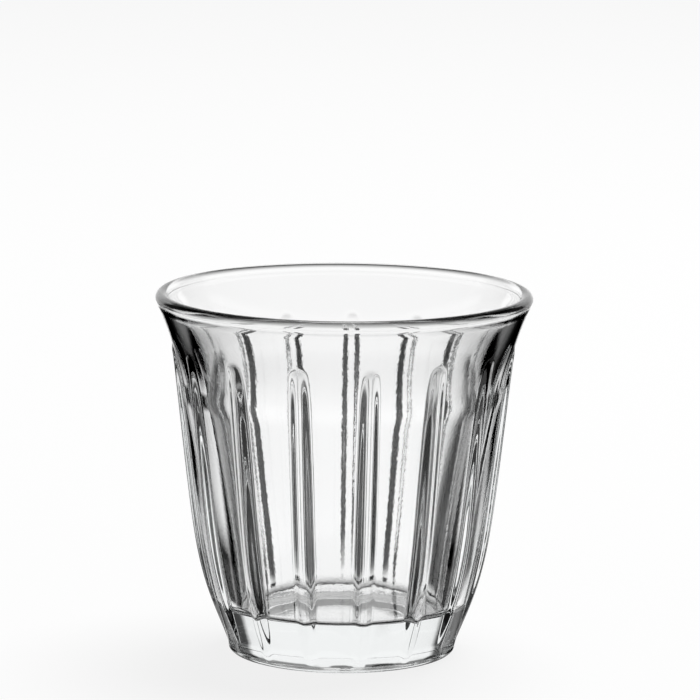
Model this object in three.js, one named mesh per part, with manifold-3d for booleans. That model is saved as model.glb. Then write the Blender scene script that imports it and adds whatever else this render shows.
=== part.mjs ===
import * as THREE from 'three';
import { mergeVertices } from 'three/addons/utils/BufferGeometryUtils.js';
import Module from 'manifold-3d';

const wasm = await Module();
wasm.setup();

// A low drinking glass, pressed in one piece. Sizes are in millimetres, +Z is up,
// the table is z = 0 and the axis of the glass is the Z axis.

// Lip
const HEIGHT = 81.3;
const LIP_RADIUS = 42;
const LIP_THICKNESS = 2.8;
const LIP_UNDERCUT_ANGLE = 50;
const LIP_INNER_SLOPE = 0.1;

// Foot and underside
const FOOT_RADIUS = 25.5;
const FOOT_TOP_RADIUS = 25.9;
const FOOT_HEIGHT = 3.5;
const FOOT_ROUNDING = 1.2;
const RECESS_RADIUS = 20;
const RECESS_DEPTH = 0.8;
const RECESS_EDGE = 2;

// Outside of the bowl: a bowed taper, then an arc that flares out under the lip.
// A slope is the growth in radius per millimetre of height.
const BOWL_LOW_SLOPE = 0.33;
const BOWL_LOW_REACH = 21;
const BOWL_TOP_REACH = 36;
const FLARE_RADIUS = 36.2;
const FLARE_DROP = 21.3;
const FLARE_SLOPE = 0.132;
const FLARE_ARC = 65;
const NECK_DROP = 2.8;

// Inside of the bowl: a thick wall up to a soft crease below the flare, then a curve out to the lip
const FLOOR_HEIGHT = 11.3;
const FLOOR_CORNER = 1.8;
const WALL_AT_FLOOR = 6.45;
const INNER_LOW_SLOPE = 0.2;
const INNER_LOW_REACH = 18.4;
const CREASE_DROP = 23.3;
const WALL_AT_CREASE = 4.9;
const CREASE_LOWER_SLOPE = 0.223;
const CREASE_LOWER_REACH = 18.2;
const CREASE_UPPER_SLOPE = 0.072;
const CREASE_UPPER_REACH = 9.4;
const INNER_LIP_REACH = 1.5;

// Ribs: a round bar that stands out of the bowl, with a ball-shaped top end
const RIB_COUNT = 15;
const RIB_PHASE = 8.97;
const RIB_ROUND = 2;
const RIB_ROOT_FILLET = 0.7;
const RIB_TOP_DROP = 12.9;
const RIB_TOP_RISE = 0.35;
const RIB_TOP_SLOPE = 0.118;
const RIB_TOP_REACH = 41.5;
const RIB_LOW_SLOPE = 0.476;
const RIB_LOW_REACH = 16.5;
const RIB_LEAST_RISE = 0.1;
const RIB_SEAT = 0.06;

// Fineness of the surfaces
const FACETS_PER_RIB = 4;
const RIB_BODY_ROWS = 8;
const RIB_BALL_ROWS = 4;
const FILLET_STEPS = 2;
const CROWN_STEPS = 4;

const rad = THREE.MathUtils.degToRad;

function at(radius, height) {
  return new THREE.Vector2(radius, height);
}

// A curve from one end to the other that leaves each end along its slope.
// The first end lies below the second when up is 1, and above it when up is -1.
function taper(from, fromSlope, fromReach, to, toSlope, toReach, up) {
  const fromHandle = at(from.x + up * fromSlope * fromReach, from.y + up * fromReach);
  const toHandle = at(to.x - up * toSlope * toReach, to.y - up * toReach);
  return new THREE.CubicBezierCurve(from, fromHandle, toHandle, to);
}

function arc(centre, radius, startAngle, endAngle) {
  const clockwise = endAngle < startAngle;
  return new THREE.EllipseCurve(centre.x, centre.y, radius, radius, startAngle, endAngle, clockwise);
}

// Radius of an outline at a height; the outline climbs from its first point to its last.
function radiusAt(outline, height) {
  let i = 1;
  while (i < outline.length - 1 && outline[i].y < height) {
    i += 1;
  }
  const low = outline[i - 1];
  const high = outline[i];
  return low.x + (high.x - low.x) * (height - low.y) / (high.y - low.y);
}

// Outside outline of the bowl, from the top of the foot to the neck under the lip
const flareStart = at(FLARE_RADIUS, HEIGHT - FLARE_DROP);
const footTop = at(FOOT_TOP_RADIUS, FOOT_HEIGHT);
const bowlCurve = taper(footTop, BOWL_LOW_SLOPE, BOWL_LOW_REACH, flareStart, FLARE_SLOPE, BOWL_TOP_REACH, 1);
const flareLow = Math.atan(FLARE_SLOPE);
const flareRise = (FLARE_DROP - NECK_DROP) / FLARE_ARC;
const flareHigh = Math.asin(Math.sin(flareLow) + flareRise);
const flareCentre = at(
  flareStart.x + FLARE_ARC * Math.cos(flareLow),
  flareStart.y - FLARE_ARC * Math.sin(flareLow),
);
const flareCurve = arc(flareCentre, FLARE_ARC, Math.PI - flareLow, Math.PI - flareHigh);
const bowlOutside = [...bowlCurve.getPoints(7), ...flareCurve.getPoints(5).slice(1)];

// Inside outline, from the lip down to the floor
const lipRound = LIP_THICKNESS / 2;
const lipCentre = at(LIP_RADIUS - lipRound, HEIGHT - lipRound);
const lipTurn = Math.PI + Math.atan(LIP_INNER_SLOPE);
const lipCurve = arc(lipCentre, lipRound, -rad(LIP_UNDERCUT_ANGLE), lipTurn);
const lipInside = at(
  lipCentre.x + lipRound * Math.cos(lipTurn),
  lipCentre.y + lipRound * Math.sin(lipTurn),
);
const creaseHeight = HEIGHT - CREASE_DROP;
const crease = at(radiusAt(bowlOutside, creaseHeight) - WALL_AT_CREASE, creaseHeight);
const cornerHeight = FLOOR_HEIGHT + FLOOR_CORNER;
const innerLow = at(radiusAt(bowlOutside, cornerHeight) - WALL_AT_FLOOR, cornerHeight);
const innerUpperCurve = taper(
  lipInside, LIP_INNER_SLOPE, INNER_LIP_REACH, crease, CREASE_UPPER_SLOPE, CREASE_UPPER_REACH, -1);
const innerLowerCurve = taper(
  crease, CREASE_LOWER_SLOPE, CREASE_LOWER_REACH, innerLow, INNER_LOW_SLOPE, INNER_LOW_REACH, -1);
const cornerCentre = at(innerLow.x - FLOOR_CORNER, cornerHeight);
const cornerCurve = arc(cornerCentre, FLOOR_CORNER, 0, -Math.PI / 2);

// Underside: a shallow dished recess inside the ring that stands on the table
const recessCurve = new THREE.CubicBezierCurve(
  at(RECESS_RADIUS - RECESS_EDGE, RECESS_DEPTH),
  at(RECESS_RADIUS - RECESS_EDGE / 2, RECESS_DEPTH),
  at(RECESS_RADIUS - RECESS_EDGE / 2, 0),
  at(RECESS_RADIUS, 0),
);
const footCentre = at(FOOT_RADIUS - FOOT_ROUNDING, FOOT_ROUNDING);
const footCurve = arc(footCentre, FOOT_ROUNDING, -Math.PI / 2, 0);

const outline = [
  at(0, RECESS_DEPTH),
  ...recessCurve.getPoints(3),
  ...footCurve.getPoints(3),
  ...bowlOutside,
  ...lipCurve.getPoints(10),
  ...innerUpperCurve.getPoints(5).slice(1),
  ...innerLowerCurve.getPoints(4).slice(1),
  ...cornerCurve.getPoints(3).slice(1),
  at(0, FLOOR_HEIGHT),
];

// A closed surface as a solid: equal corners are joined and empty triangles dropped.
function solid(geometry) {
  geometry.deleteAttribute('normal');
  geometry.deleteAttribute('uv');
  const joined = mergeVertices(geometry, 1e-5);
  const index = joined.index.array;
  const triangles = [];
  for (let i = 0; i < index.length; i += 3) {
    const [a, b, c] = index.slice(i, i + 3);
    if (a !== b && b !== c && c !== a) {
      triangles.push(a, b, c);
    }
  }
  const mesh = new wasm.Mesh({
    numProp: 3,
    vertProperties: new Float32Array(joined.attributes.position.array),
    triVerts: new Uint32Array(triangles),
  });
  return new wasm.Manifold(mesh);
}

const ribBottom = FOOT_HEIGHT;
const ribEnd = HEIGHT - RIB_TOP_DROP;
const ribEndRadius = radiusAt(bowlOutside, ribEnd) + RIB_TOP_RISE;
const crownCurve = taper(
  footTop, RIB_LOW_SLOPE, RIB_LOW_REACH, at(ribEndRadius, ribEnd), RIB_TOP_SLOPE, RIB_TOP_REACH, 1);
const crownOutside = crownCurve.getPoints(40);

// Distance from the axis to the middle of the round bar, and the bar's radius, at a height
function ribBar(height) {
  const above = Math.max(height - ribEnd, 0);
  const crown = radiusAt(crownOutside, Math.min(height, ribEnd));
  const round = Math.sqrt(Math.max(RIB_ROUND ** 2 - above ** 2, 0));
  return { middle: crown - RIB_ROUND, round };
}

// Height at which the ball-shaped end sinks into the flare
function ribTip() {
  let low = ribEnd;
  let high = ribEnd + RIB_ROUND;
  for (let i = 0; i < 40; i += 1) {
    const height = (low + high) / 2;
    const bar = ribBar(height);
    if (bar.middle + bar.round > radiusAt(bowlOutside, height) + RIB_LEAST_RISE) {
      low = height;
    } else {
      high = height;
    }
  }
  return low;
}

// One level cut through a rib: root fillet, round crown, root fillet, then back inside the wall.
// x points away from the axis and y along the wall.
function ribSection(height) {
  const wall = radiusAt(bowlOutside, height) + RIB_SEAT;
  const bar = ribBar(height);
  const middle = Math.max(bar.middle, wall + RIB_LEAST_RISE - bar.round);
  const reach = wall + RIB_ROOT_FILLET;
  const span = bar.round + RIB_ROOT_FILLET;
  const turn = Math.acos((reach ** 2 + middle ** 2 - span ** 2) / (2 * reach * middle));
  const filletCentre = at(reach * Math.cos(turn), reach * Math.sin(turn));
  const touch = Math.atan2(filletCentre.y, filletCentre.x - middle);
  const fillet = arc(filletCentre, RIB_ROOT_FILLET, Math.PI + turn, Math.PI + touch);
  const crown = arc(at(middle, 0), bar.round, -touch, touch);
  const left = fillet.getPoints(FILLET_STEPS).reverse();
  const right = left.map((point) => at(point.x, -point.y)).reverse();
  const sunk = wall - LIP_THICKNESS / 2;
  const buried = at(sunk * Math.cos(turn), sunk * Math.sin(turn));
  const top = crown.getPoints(CROWN_STEPS).slice(1, -1);
  return [at(buried.x, -buried.y), ...right, ...top, ...left, buried];
}

// A skin over level sections, drawn to a point at each end.
function loft(heights, lowEnd, highEnd) {
  const rows = heights.map((height) => ribSection(height));
  const count = rows[0].length;
  const positions = [lowEnd.x, 0, lowEnd.y];
  rows.forEach((row, i) => {
    row.forEach((point) => positions.push(point.x, point.y, heights[i]));
  });
  positions.push(highEnd.x, 0, highEnd.y);
  const last = positions.length / 3 - 1;
  const index = [];
  for (let j = 0; j < count; j += 1) {
    const next = (j + 1) % count;
    index.push(0, 1 + next, 1 + j);
    for (let i = 0; i < rows.length - 1; i += 1) {
      const low = 1 + i * count;
      const high = low + count;
      index.push(low + j, low + next, high + next);
      index.push(low + j, high + next, high + j);
    }
    const final = 1 + (rows.length - 1) * count;
    index.push(final + j, final + next, last);
  }
  const geometry = new THREE.BufferGeometry();
  geometry.setAttribute('position', new THREE.Float32BufferAttribute(positions, 3));
  geometry.setIndex(index);
  return geometry;
}

function ribGeometry() {
  const tip = ribTip();
  const heights = [];
  for (let i = 1; i <= RIB_BODY_ROWS; i += 1) {
    heights.push(ribBottom + (ribEnd - ribBottom) * i / RIB_BODY_ROWS);
  }
  for (let i = 1; i < RIB_BALL_ROWS; i += 1) {
    heights.push(ribEnd + (tip - ribEnd) * Math.sin(Math.PI / 2 * i / RIB_BALL_ROWS));
  }
  const lowEnd = at(FOOT_TOP_RADIUS - RIB_LEAST_RISE, ribBottom);
  const highEnd = at(radiusAt(bowlOutside, tip) - RIB_LEAST_RISE, tip);
  return loft(heights, lowEnd, highEnd);
}

// The turned body stands with one facet edge under the middle of every rib.
const turned = new THREE.LatheGeometry(outline, RIB_COUNT * FACETS_PER_RIB, rad(RIB_PHASE));
turned.rotateX(Math.PI / 2);
let glass = solid(turned);
const rib = ribGeometry();
for (let k = 0; k < RIB_COUNT; k += 1) {
  const placed = rib.clone();
  placed.rotateZ(rad(RIB_PHASE - 90) + 2 * Math.PI * k / RIB_COUNT);
  glass = glass.add(solid(placed));
}

const result = glass.getMesh();
const geometry = new THREE.BufferGeometry();
geometry.setAttribute('position', new THREE.Float32BufferAttribute(result.vertProperties, 3));
geometry.setIndex(Array.from(result.triVerts));
geometry.computeVertexNormals();

const clearGlass = new THREE.MeshStandardMaterial({
  color: 0xeef2f2,
  roughness: 0.05,
  metalness: 0,
  transparent: true,
  opacity: 0.4,
});
const tumbler = new THREE.Mesh(geometry, clearGlass);
tumbler.name = 'tumbler';

const part = new THREE.Group();
part.name = 'part';
part.add(tumbler);

export default part;
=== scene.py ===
import math

import bpy
import numpy as np
from mathutils import Matrix, Vector


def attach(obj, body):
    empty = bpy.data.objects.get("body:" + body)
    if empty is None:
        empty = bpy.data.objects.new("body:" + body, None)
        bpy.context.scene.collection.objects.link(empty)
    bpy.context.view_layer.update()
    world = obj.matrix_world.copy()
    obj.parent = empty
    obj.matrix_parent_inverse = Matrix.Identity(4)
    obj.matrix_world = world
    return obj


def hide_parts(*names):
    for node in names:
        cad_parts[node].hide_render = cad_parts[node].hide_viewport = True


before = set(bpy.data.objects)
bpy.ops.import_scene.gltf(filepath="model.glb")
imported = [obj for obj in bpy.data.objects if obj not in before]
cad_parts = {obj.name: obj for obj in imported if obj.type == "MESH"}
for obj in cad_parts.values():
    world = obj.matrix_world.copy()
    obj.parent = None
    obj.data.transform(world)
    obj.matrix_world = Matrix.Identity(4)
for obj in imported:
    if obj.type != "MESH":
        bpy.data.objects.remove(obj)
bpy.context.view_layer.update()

MM = 0.001

# Sizes of the glass in millimetres. A slope is radius per height, and a reach is the height over which
# a curve leaves its end along that slope. The outside is the same as in the part's source, and the inside
# follows it closely.
HEIGHT = 81.3
LIP_RADIUS, LIP_THICKNESS = 42.0, 2.8
LIP_UNDERCUT, LIP_INNER_SLOPE, LIP_INNER_REACH = math.radians(50), 0.1, 1.5
FOOT_RADIUS, FOOT_TOP_RADIUS, FOOT_HEIGHT, FOOT_ROUNDING = 25.5, 25.9, 3.5, 1.2
RECESS_RADIUS, RECESS_DEPTH, RECESS_EDGE = 20.0, 0.8, 2.0
BOWL_LOW_SLOPE, BOWL_LOW_REACH, BOWL_TOP_REACH = 0.33, 21.0, 36.0
FLARE_RADIUS, FLARE_DROP, FLARE_SLOPE, FLARE_ARC, NECK_DROP = 36.2, 21.3, 0.132, 65.0, 2.8
FLOOR_HEIGHT, FLOOR_CORNER, FLOOR_WALL_RADIUS = 11.3, 1.8, 22.4
INNER_LOW_SLOPE, INNER_LOW_REACH = 0.195, 18.0
CREASE_RADIUS, CREASE_DROP, CREASE_SOFT = 31.08, 23.3, 1.2
CREASE_LOWER_SLOPE, CREASE_LOWER_REACH = 0.223, 18.0
CREASE_UPPER_SLOPE, CREASE_UPPER_REACH = 0.072, 9.4
RIB_COUNT, RIB_PHASE, RIB_ROUND, RIB_FILLET = 15, math.radians(8.97), 2.0, 0.7
RIB_TOP_DROP, RIB_TOP_RISE, RIB_TOP_SLOPE, RIB_TOP_REACH = 12.9, 0.35, 0.118, 41.5
RIB_LOW_SLOPE, RIB_LOW_REACH = 0.476, 16.5

# Fineness of the mesh: points on curves, and millimetres between rows, closer near rib tops and crease.
CURVE_POINTS, FLARE_POINTS = 400, 200
RECESS_POINTS, FOOT_POINTS, FOOT_SIDE_POINTS = 8, 9, 7
LIP_POINTS, CORNER_POINTS, FLOOR_POINTS = 26, 11, 6
OUTSIDE_STEP, OUTSIDE_CLOSE_STEP = 1.2, 0.5
INSIDE_STEP, INSIDE_CLOSE_STEP = 1.4, 0.6
CLOSE_REACH = 4.0
EASE_STEP, EASE_SAMPLES, EASE_SPREAD = 0.1, 40, 2.5
RIB_POINTS, GAP_POINTS = 14, 5
RIB_SPAN, RIB_SPAN_RADIUS = RIB_ROUND + 1.1 * RIB_FILLET, 31.0
SEARCH_BELOW, SEARCH_ABOVE, SEARCH_STEPS = 0.02, 1.5, 40

# The glass: tint in depth, unevenness left by the mould, and wear on the ring that it stands on, in metres.
REFRACTION = 1.5
TINT, TINT_DENSITY = (0.6, 0.72, 0.72, 1), 3.0
PRESS_GRAIN, PRESS_RELIEF, PRESS_DETAIL = 1500.0, 4e-6, 2.0
SCUFF_GRAIN, SCUFF_HEIGHT, SCUFF_DETAIL = 1500.0, 0.0006, 4.0

# The pale floor and the light, in metres and watts.
STAGE_RADIUS, STAGE_SIDES, STAGE_GREY = 6, 96, 0.985
ROOM_LIGHT = 0.87
LAMP_SIZE, LAMP_POWER, LAMP_PLACE = 1.2, 5.0, (0.3, 0.5, 1.75)

# The tent is a sphere round the glass, white with dark places, that only the glass sees.
TENT_RADIUS, TENT_HEIGHT, TENT_STEP = 1.5, 0.04, 2
# Dark places in it, alike on the left and right. In degrees: angle from straight behind the glass, from
# and to; elevation, from and to; softness of the edges. Then how dark.
DARK_PLACES = {
    "room beside the backdrop": (40, 75, 0, 100, 5, 0.93),
    "room in front": (75, 200, 14, 100, 5, 0.93),
    "ceiling": (-20, 75, 60, 100, 4, 1.0),
    "top of the backdrop": (10, 70, 25, 65, 4, 0.75),
    "strip on the table": (15, 50, -22, -10, 5, 1.0),
    "table beside the glass": (50, 100, -40, -8, 6, 1.0),
    # Painted shade of the glass on the table close to its foot.
    "painted shade near the foot": (30, 100, -100, -40, 10, 1.0),
    "table in front": (80, 200, -100, -30, 12, 0.85),
}
# The table behind the glass grows darker towards the glass, from one elevation down to another: painted shade
# of the glass on the table, glowing in the tent.
TABLE_FAR, TABLE_NEAR, TABLE_SHADE_LEVEL = -15, -45, 0.02
TABLE_WIDTH, TABLE_SOFT = 42, 20
# Seen straight through the glass, with no reflection in it, the table is white beside and under the glass.
THROUGH_LEVEL, THROUGH_SIDE, THROUGH_LOW, THROUGH_SOFT = 0.93, 55, -52, 10

# Camera at the photograph's place: a long lens a metre away, looking slightly down.
# In metres, radians and pixels of the photograph, with the sensor's width in millimetres.
CAMERA_DISTANCE, CAMERA_HEIGHT, CAMERA_REACH = 1.05252, 0.252457, 20
PITCH, PAN, ROLL = 0.1735, 0.0013, 0.0083
FOCAL_PIXELS, PICTURE_PIXELS, SENSOR_WIDTH = 4796.8, 700, 36


def taper(start, start_slope, start_reach, end, end_slope, end_reach):
    """A rising curve of (radius, height) points that leaves each end along its slope."""
    t = np.linspace(0, 1, CURVE_POINTS)[:, None]
    p0, p3 = np.array(start), np.array(end)
    p1 = p0 + np.array((start_slope * start_reach, start_reach))
    p2 = p3 - np.array((end_slope * end_reach, end_reach))
    return (1 - t) ** 3 * p0 + 3 * (1 - t) ** 2 * t * p1 + 3 * (1 - t) * t ** 2 * p2 + t ** 3 * p3


def arc(centre, radius, start, end, n):
    a = np.linspace(start, end, n)
    return np.stack((centre[0] + radius * np.cos(a), centre[1] + radius * np.sin(a)), -1)


def spaced(line, step, middle, close):
    """The same rising line with points a step apart, and closer round a height."""
    run = np.concatenate(([0], np.cumsum(np.hypot(*np.diff(line, axis=0).T))))
    pace = 1 / np.where(np.abs(line[:, 1] - middle) < CLOSE_REACH, close, step)
    count = np.concatenate(([0], np.cumsum(np.diff(run) * (pace[1:] + pace[:-1]) / 2)))
    at = np.interp(np.linspace(0, count[-1], int(count[-1]) + 1), count, run)
    return np.stack((np.interp(at, run, line[:, 0]), np.interp(at, run, line[:, 1])), -1)


def outside():
    """Bowl and flare, from the top of the foot to the neck under the lip."""
    start = (FLARE_RADIUS, HEIGHT - FLARE_DROP)
    foot = (FOOT_TOP_RADIUS, FOOT_HEIGHT)
    bowl = taper(foot, BOWL_LOW_SLOPE, BOWL_LOW_REACH, start, FLARE_SLOPE, BOWL_TOP_REACH)
    low = math.atan(FLARE_SLOPE)
    high = math.asin(math.sin(low) + (FLARE_DROP - NECK_DROP) / FLARE_ARC)
    centre = (start[0] + FLARE_ARC * math.cos(low), start[1] - FLARE_ARC * math.sin(low))
    flare = arc(centre, FLARE_ARC, math.pi - low, math.pi - high, FLARE_POINTS)
    return np.vstack((bowl, flare[1:]))


def inside(lip):
    """Inner wall from the floor's corner up to the lip, with a soft crease under the flare."""
    low = (FLOOR_WALL_RADIUS, FLOOR_HEIGHT + FLOOR_CORNER)
    crease = (CREASE_RADIUS, HEIGHT - CREASE_DROP)
    lower = taper(low, INNER_LOW_SLOPE, INNER_LOW_REACH, crease, CREASE_LOWER_SLOPE, CREASE_LOWER_REACH)
    upper = taper(crease, CREASE_UPPER_SLOPE, CREASE_UPPER_REACH, lip, LIP_INNER_SLOPE, LIP_INNER_REACH)
    line = np.vstack((lower, upper[1:]))
    z = np.arange(line[0, 1], line[-1, 1], EASE_STEP)
    r = np.interp(z, line[:, 1], line[:, 0])
    kernel = np.exp(-0.5 * (np.arange(-EASE_SAMPLES, EASE_SAMPLES + 1) * EASE_STEP / CREASE_SOFT) ** 2)
    padded = np.pad(r, EASE_SAMPLES, mode="reflect", reflect_type="odd")
    eased = np.convolve(padded, kernel / kernel.sum(), "valid")
    near = np.exp(-0.5 * ((z - crease[1]) / (EASE_SPREAD * CREASE_SOFT)) ** 2)
    eased = r + (eased - r) * near
    return np.vstack((np.stack((eased, z), -1), [lip]))


def outline():
    """Half section from the middle of the underside to the middle of the floor, and which rows carry ribs."""
    under = np.array([(0.0, RECESS_DEPTH), (RECESS_RADIUS / 2, RECESS_DEPTH)])
    t = np.linspace(0, 1, RECESS_POINTS)
    edge = np.stack((RECESS_RADIUS - RECESS_EDGE * (1 - t), RECESS_DEPTH * (1 - t * t * (3 - 2 * t))), -1)
    foot = arc((FOOT_RADIUS - FOOT_ROUNDING, FOOT_ROUNDING), FOOT_ROUNDING, -math.pi / 2, 0, FOOT_POINTS)
    side = np.linspace((FOOT_RADIUS, FOOT_ROUNDING), (FOOT_TOP_RADIUS, FOOT_HEIGHT), FOOT_SIDE_POINTS)[1:-1]
    bowl = np.vstack((side, spaced(outside(), OUTSIDE_STEP, HEIGHT - RIB_TOP_DROP, OUTSIDE_CLOSE_STEP)))
    bead = LIP_THICKNESS / 2
    turn = math.pi + math.atan(LIP_INNER_SLOPE)
    lip = arc((LIP_RADIUS - bead, HEIGHT - bead), bead, -LIP_UNDERCUT, turn, LIP_POINTS)
    wall = spaced(inside(tuple(lip[-1])), INSIDE_STEP, HEIGHT - CREASE_DROP, INSIDE_CLOSE_STEP)[::-1]
    flat = FLOOR_WALL_RADIUS - FLOOR_CORNER
    corner = arc((flat, FLOOR_HEIGHT + FLOOR_CORNER), FLOOR_CORNER, 0, -math.pi / 2, CORNER_POINTS)
    floor = np.linspace((flat, FLOOR_HEIGHT), (0, FLOOR_HEIGHT), FLOOR_POINTS)
    parts = (under, edge, foot, bowl, lip, wall[1:], corner[1:], floor[1:])
    carries = np.concatenate([np.full(len(p), p is bowl) for p in parts])
    return np.vstack(parts), carries


def ribbed(wall, z, offset):
    """Radius on rays at an angle from a rib's middle: the wall and a round bar, joined by a root fillet."""
    line = outside()
    end = HEIGHT - RIB_TOP_DROP
    top = (np.interp(end, line[:, 1], line[:, 0]) + RIB_TOP_RISE, end)
    foot = (FOOT_TOP_RADIUS, FOOT_HEIGHT)
    crown = taper(foot, RIB_LOW_SLOPE, RIB_LOW_REACH, top, RIB_TOP_SLOPE, RIB_TOP_REACH)
    height = np.interp(z, crown[:, 1], crown[:, 0])
    height = np.where(z < FOOT_HEIGHT, FOOT_TOP_RADIUS + RIB_LOW_SLOPE * (z - FOOT_HEIGHT), height)
    middle = (height - RIB_ROUND)[:, None]
    above = np.maximum(z - end, 0)[:, None]
    wall = wall[:, None]
    low = wall - SEARCH_BELOW + 0 * offset
    high = np.maximum(wall, middle + RIB_ROUND) + SEARCH_ABOVE + 0 * offset
    for _ in range(SEARCH_STEPS):
        r = (low + high) / 2
        to_wall = r - wall
        across = r * np.sin(offset)
        to_bar = np.sqrt((r * np.cos(offset) - middle) ** 2 + across ** 2 + above ** 2) - RIB_ROUND
        away = np.hypot(np.maximum(RIB_FILLET - to_wall, 0), np.maximum(RIB_FILLET - to_bar, 0))
        within = np.maximum(RIB_FILLET, np.minimum(to_wall, to_bar)) - away < 0
        low = np.where(within, r, low)
        high = np.where(within, high, r)
    return (low + high) / 2


def tumbler_mesh():
    """The whole glass as rings of points, with closer columns on the ribs than between them."""
    half = math.pi / RIB_COUNT
    rib = math.asin(RIB_SPAN / RIB_SPAN_RADIUS)
    steps = np.concatenate((np.linspace(0, rib, RIB_POINTS), np.linspace(rib, half, GAP_POINTS)[1:]))
    steps = np.concatenate((steps, 2 * half - steps[-2:0:-1]))
    offset = np.abs(np.where(steps > half, steps - 2 * half, steps))[None, :]
    line, carries = outline()
    line = line[1:-1]
    carries = carries[1:-1]
    radius = np.repeat(line[:, :1], steps.size, 1)
    radius[carries] = ribbed(line[carries, 0], line[carries, 1], offset)
    angle = np.concatenate([steps + 2 * half * k for k in range(RIB_COUNT)]) + RIB_PHASE
    radius = np.tile(radius, (1, RIB_COUNT))
    rows, columns = radius.shape
    z = np.repeat(line[:, 1:], columns, 1)
    points = np.stack((radius * np.sin(angle), -radius * np.cos(angle), z), -1).reshape(-1, 3)
    points = np.vstack((points, [(0, 0, RECESS_DEPTH), (0, 0, FLOOR_HEIGHT)])) * MM
    i, j = np.meshgrid(np.arange(rows - 1), np.arange(columns), indexing="ij")
    n = (j + 1) % columns
    quads = np.stack((i * columns + j, i * columns + n, (i + 1) * columns + n, (i + 1) * columns + j), -1)
    j = np.arange(columns)
    n = (j + 1) % columns
    last = (rows - 1) * columns
    under = np.stack((n, j, np.full(columns, rows * columns)), -1)
    floor = np.stack((last + j, last + n, np.full(columns, rows * columns + 1)), -1)
    mesh = bpy.data.meshes.new("tumbler_glass")
    faces = quads.reshape(-1, 4).tolist() + under.tolist() + floor.tolist()
    mesh.from_pydata(points.tolist(), [], faces)
    mesh.polygons.foreach_set("use_smooth", [True] * len(mesh.polygons))
    mesh.update()
    return mesh


def glass_material():
    """Clear glass with a slight tint in depth, fine unevenness from pressing and a scuffed foot."""
    material = bpy.data.materials.new("clear_glass")
    material.use_nodes = True
    tree = material.node_tree

    def node(kind, **values):
        made = tree.nodes.new(kind)
        for socket, value in values.items():
            made.inputs[socket.replace("_", " ")].default_value = value
        return made

    def join(source, output, target, socket):
        tree.links.new(source.outputs[output], target.inputs[socket])

    shader = tree.nodes["Principled BSDF"]
    shader.inputs["Base Color"].default_value = (1, 1, 1, 1)
    shader.inputs["IOR"].default_value = REFRACTION
    shader.inputs["Transmission Weight"].default_value = 1.0
    place = node("ShaderNodeTexCoord")
    grain = node("ShaderNodeTexNoise", Scale=PRESS_GRAIN, Detail=PRESS_DETAIL)
    join(place, "Object", grain, "Vector")
    relief = node("ShaderNodeBump", Strength=1.0, Distance=PRESS_RELIEF)
    join(grain, "Fac", relief, "Height")
    join(relief, "Normal", shader, "Normal")
    split = node("ShaderNodeSeparateXYZ")
    join(place, "Object", split, "Vector")
    low = node("ShaderNodeMapRange", From_Min=0.0, From_Max=SCUFF_HEIGHT, To_Min=1.0, To_Max=0.0)
    join(split, "Z", low, "Value")
    marks = node("ShaderNodeTexNoise", Scale=SCUFF_GRAIN, Detail=SCUFF_DETAIL)
    join(place, "Object", marks, "Vector")
    scuff = node("ShaderNodeMath")
    scuff.operation = "MULTIPLY"
    join(low, "Result", scuff, 0)
    join(marks, "Fac", scuff, 1)
    join(scuff, "Value", shader, "Roughness")
    tint = node("ShaderNodeVolumeAbsorption", Color=TINT, Density=TINT_DENSITY)
    join(tint, "Volume", tree.nodes["Material Output"], "Volume")
    return material


def floor_mesh():
    """A flat disc at the height that the glass stands on."""
    turns = np.linspace(0, 2 * math.pi, STAGE_SIDES, endpoint=False)
    ring = [(STAGE_RADIUS * math.cos(a), STAGE_RADIUS * math.sin(a), 0) for a in turns]
    mesh = bpy.data.meshes.new("floor")
    mesh.from_pydata(ring, [], [tuple(range(STAGE_SIDES))])
    return mesh


def floor_material():
    material = bpy.data.materials.new("pale_floor")
    material.use_nodes = True
    shader = material.node_tree.nodes["Principled BSDF"]
    shader.inputs["Base Color"].default_value = (STAGE_GREY, STAGE_GREY, STAGE_GREY, 1)
    shader.inputs["Roughness"].default_value = 1.0
    shader.inputs["Specular IOR Level"].default_value = 0.0
    return material


def ramp(x):
    """A soft step from 0 to 1 round zero, one wide."""
    t = np.clip(x + 0.5, 0, 1)
    return t * t * (3 - 2 * t)


def tent_levels(azimuth, elevation):
    """How bright the tent is for rays reflected in the glass, and for rays that went straight through it."""
    side = np.abs(azimuth)
    # Painted shade on the table behind the glass, darker towards the glass.
    table = np.interp(elevation, (TABLE_NEAR, TABLE_FAR), (TABLE_SHADE_LEVEL, 1))
    level = 1 - (1 - table) * ramp((TABLE_WIDTH - side) / TABLE_SOFT)
    for near, far, low, high, soft, dark in DARK_PLACES.values():
        across = ramp((side - near) / soft) * ramp((far - side) / soft)
        level *= 1 - dark * across * ramp((elevation - low) / soft) * ramp((high - elevation) / soft)
    beside = ramp((side - THROUGH_SIDE) / THROUGH_SOFT) * ramp(-elevation / THROUGH_SOFT)
    under = ramp((THROUGH_LOW - elevation) / THROUGH_SOFT)
    through = np.maximum(level, THROUGH_LEVEL * np.maximum(beside, under))
    return level, through


def tent_mesh():
    """A sphere of points by azimuth and elevation, with both levels as a colour on each point."""
    turns, heights = np.arange(-180, 180, TENT_STEP), np.arange(-90, 91, TENT_STEP)
    azimuth, elevation = np.meshgrid(turns, heights, indexing="ij")
    level, through = tent_levels(azimuth, elevation)
    a, e = np.radians(azimuth), np.radians(elevation)
    points = np.stack((np.sin(a) * np.cos(e), np.cos(a) * np.cos(e), np.sin(e)), -1) * TENT_RADIUS
    points[..., 2] += TENT_HEIGHT
    columns, rows = level.shape
    i, j = np.meshgrid(np.arange(columns), np.arange(rows - 1), indexing="ij")
    n = (i + 1) % columns
    faces = np.stack((i * rows + j, n * rows + j, n * rows + j + 1, i * rows + j + 1), -1).reshape(-1, 4)
    mesh = bpy.data.meshes.new("tent")
    mesh.from_pydata(points.reshape(-1, 3).tolist(), [], faces.tolist())
    shade = mesh.color_attributes.new("level", "FLOAT_COLOR", "POINT")
    levels = np.stack((level, through, level, np.ones_like(level)), -1)
    shade.data.foreach_set("color", levels.ravel())
    return mesh


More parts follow.
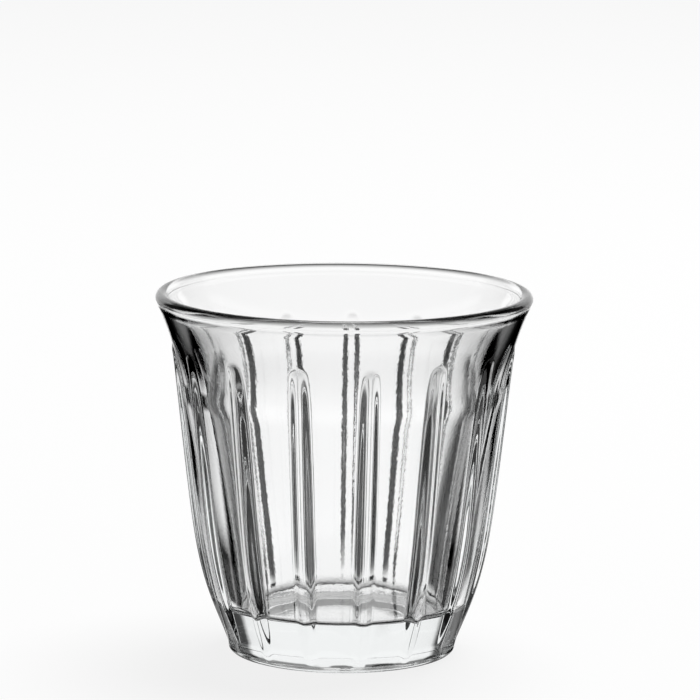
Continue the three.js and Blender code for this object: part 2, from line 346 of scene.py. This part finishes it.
def tent_material():
    """Glows with the colour's red for rays reflected in the glass, and its green for the others."""
    material = bpy.data.materials.new("tent_cloth")
    material.use_nodes = True
    tree = material.node_tree
    tree.nodes.remove(tree.nodes["Principled BSDF"])
    level = tree.nodes.new("ShaderNodeAttribute")
    level.attribute_name = "level"
    split = tree.nodes.new("ShaderNodeSeparateColor")
    tree.links.new(level.outputs["Color"], split.inputs["Color"])
    path = tree.nodes.new("ShaderNodeLightPath")
    seen = tree.nodes.new("ShaderNodeMapRange")
    tree.links.new(path.outputs["Glossy Depth"], seen.inputs["Value"])
    tree.links.new(split.outputs["Green"], seen.inputs["To Min"])
    tree.links.new(split.outputs["Red"], seen.inputs["To Max"])
    glow = tree.nodes.new("ShaderNodeEmission")
    tree.links.new(seen.outputs["Result"], glow.inputs["Color"])
    tree.links.new(glow.outputs["Emission"], tree.nodes["Material Output"].inputs["Surface"])
    return material


def add(name, mesh, material):
    obj = bpy.data.objects.new(name, mesh)
    bpy.context.scene.collection.objects.link(obj)
    mesh.materials.append(material)
    return obj


def add_lamp():
    """One large soft lamp outside the tent, for the faint shadow on the floor."""
    lamp = bpy.data.objects.new("soft_lamp", bpy.data.lights.new("soft_lamp", "AREA"))
    bpy.context.scene.collection.objects.link(lamp)
    lamp.data.shape = "DISK"
    lamp.data.size = LAMP_SIZE
    lamp.data.energy = LAMP_POWER
    lamp.location = LAMP_PLACE
    lamp.rotation_euler = (-lamp.location).to_track_quat("-Z", "Y").to_euler()


def add_world():
    """Even light from all round, a little under white, so that the far floor runs into the backdrop."""
    world = bpy.data.worlds.new("studio")
    bpy.context.scene.world = world
    world.use_nodes = True
    backdrop = world.node_tree.nodes["Background"]
    backdrop.inputs["Color"].default_value = (1, 1, 1, 1)
    backdrop.inputs["Strength"].default_value = ROOM_LIGHT


def add_camera():
    right = Vector((math.cos(PAN), -math.sin(PAN), 0))
    ahead = Vector((math.sin(PAN), math.cos(PAN), 0))
    up = Vector((0, 0, 1))
    look = math.cos(PITCH) * ahead - math.sin(PITCH) * up
    top = math.sin(PITCH) * ahead + math.cos(PITCH) * up
    side = math.cos(ROLL) * right + math.sin(ROLL) * top
    head = -math.sin(ROLL) * right + math.cos(ROLL) * top
    camera = bpy.data.objects.new("camera", bpy.data.cameras.new("camera"))
    bpy.context.scene.collection.objects.link(camera)
    camera.data.sensor_width = SENSOR_WIDTH
    camera.data.lens = SENSOR_WIDTH * FOCAL_PIXELS / PICTURE_PIXELS
    camera.data.clip_end = CAMERA_REACH
    place = Matrix.Translation((0, -CAMERA_DISTANCE, CAMERA_HEIGHT))
    camera.matrix_world = place @ Matrix((side, head, -look)).transposed().to_4x4()
    bpy.context.scene.camera = camera


glass = add("tumbler_glass", tumbler_mesh(), glass_material())
glass.visible_diffuse = False
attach(glass, "root")
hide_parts("tumbler")

floor = add("floor", floor_mesh(), floor_material())
floor.visible_transmission = False
floor.visible_glossy = False

tent = add("tent", tent_mesh(), tent_material())
tent.visible_camera = False
tent.visible_diffuse = False
tent.visible_shadow = False

add_world()
add_lamp()
add_camera()
bpy.context.scene.view_settings.view_transform = "Standard"
